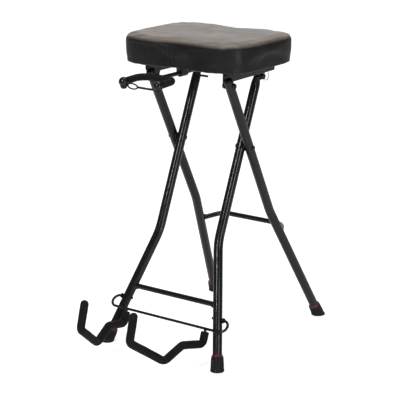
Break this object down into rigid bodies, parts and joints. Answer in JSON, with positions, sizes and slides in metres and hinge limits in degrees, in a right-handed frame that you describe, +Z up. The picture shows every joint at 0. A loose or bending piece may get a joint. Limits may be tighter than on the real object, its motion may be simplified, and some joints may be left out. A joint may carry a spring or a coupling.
{
  "type": "folding guitar stool",
  "caption": "Folding stool on crossed splayed tube frames, with a padded waisted seat, a fold-up wire cradle with foam hooks and a sliding neck yoke.",
  "frame": {"origin": "on the floor, under the middle of the bounding box of the set-up stool", "axes": "+Z up; +X across the stool, to the sitter's left; -Y is the front, where the cradle and the yoke are"},
  "size_m": [0.3686, 0.7082, 0.7692],
  "materials": {
    "frame_paint": "semi-gloss black powder coat",
    "foot_rubber": "matte moulded rubber",
    "red_rubber": "satin dark red rubber",
    "fastener": "black oxide",
    "black_plastic": "matte nylon",
    "foam": "matte closed-cell foam sleeve",
    "seat_vinyl": "semi-gloss grained black vinyl over foam",
    "plywood": "raw plywood",
    "steel_wire": "bright spring wire"
  },
  "bodies": {
    "rear_frame": {"rear_leg_left": "frame_paint", "rear_leg_right": "frame_paint", "rear_crossbar": "frame_paint", "rear_foot_left": "foot_rubber", "rear_foot_right": "foot_rubber", "rear_foot_ring_left": "red_rubber", "rear_foot_ring_right": "red_rubber", "scissor_bolt_left": "fastener", "scissor_bolt_right": "fastener", "scissor_spacer_left": "black_plastic", "scissor_spacer_right": "black_plastic"},
    "front_frame": {"front_leg_left": "frame_paint", "front_leg_right": "frame_paint", "front_crossbar": "frame_paint", "front_foot_left": "foot_rubber", "front_foot_right": "foot_rubber", "front_foot_ring_left": "red_rubber", "front_foot_ring_right": "red_rubber", "leg_top_bolt": "fastener"},
    "cradle": {"cradle_wire": "frame_paint", "cradle_bush_left": "black_plastic", "cradle_bush_right": "black_plastic", "hook_core_left": "frame_paint", "hook_core_right": "frame_paint", "hook_foam_left": "foam", "hook_foam_right": "foam"},
    "seat": {"seat_cushion": "seat_vinyl", "seat_board": "plywood", "bracket_left": "frame_paint", "bracket_right": "frame_paint", "seat_bolt_left": "fastener", "seat_bolt_right": "fastener", "seat_screw_left_1": "fastener", "seat_screw_left_2": "fastener", "seat_screw_right_1": "fastener", "seat_screw_right_2": "fastener", "seat_stud": "fastener", "yoke_guide_front": "black_plastic", "yoke_guide_rear": "black_plastic", "guide_screw_front_left": "fastener", "guide_screw_front_right": "fastener", "guide_screw_rear_left": "fastener", "guide_screw_rear_right": "fastener"},
    "lock_pin": {"lock_pin": "fastener"},
    "lock_ring": {"lock_ring": "steel_wire"},
    "yoke": {"yoke_arm": "frame_paint", "yoke_rod": "frame_paint", "yoke_foam": "foam", "yoke_ball_left": "foot_rubber", "yoke_ball_right": "foot_rubber", "yoke_strap": "foot_rubber"}
  },
  "joints": [
    {"name": "scissor_fold", "type": "hinge", "parent": "rear_frame", "child": "front_frame", "pos_m": [0, 0.07777, 0.4968], "axis": [1, 0, 0], "range_deg": [0, 44.4]},
    {"name": "seat_fold", "type": "hinge", "parent": "rear_frame", "child": "seat", "pos_m": [0, -0.00885, 0.662], "axis": [1, 0, 0], "range_deg": [0, 117.66]},
    {"name": "cradle_fold", "type": "hinge", "parent": "front_frame", "child": "cradle", "pos_m": [0, -0.08881, 0.1099], "axis": [-1, 0, 0], "range_deg": [0, 88]},
    {"name": "yoke_slide", "type": "slide", "parent": "seat", "child": "yoke", "axis": [0, 1, 0], "range_m": [0, 0.052]},
    {"name": "lock_pin_pull", "type": "slide", "parent": "seat", "child": "lock_pin", "axis": [1, 0, 0], "range_m": [0, 0.028]},
    {"name": "lock_ring_swing", "type": "hinge", "parent": "lock_pin", "child": "lock_ring", "pos_m": [0.1057, 0.15234, 0.66], "axis": [0, 0, -1], "range_deg": [0, 90]}
  ],
  "couplings": [
    {"joint": "seat_fold", "follows": "scissor_fold", "ratio": 2.65}
  ]
}
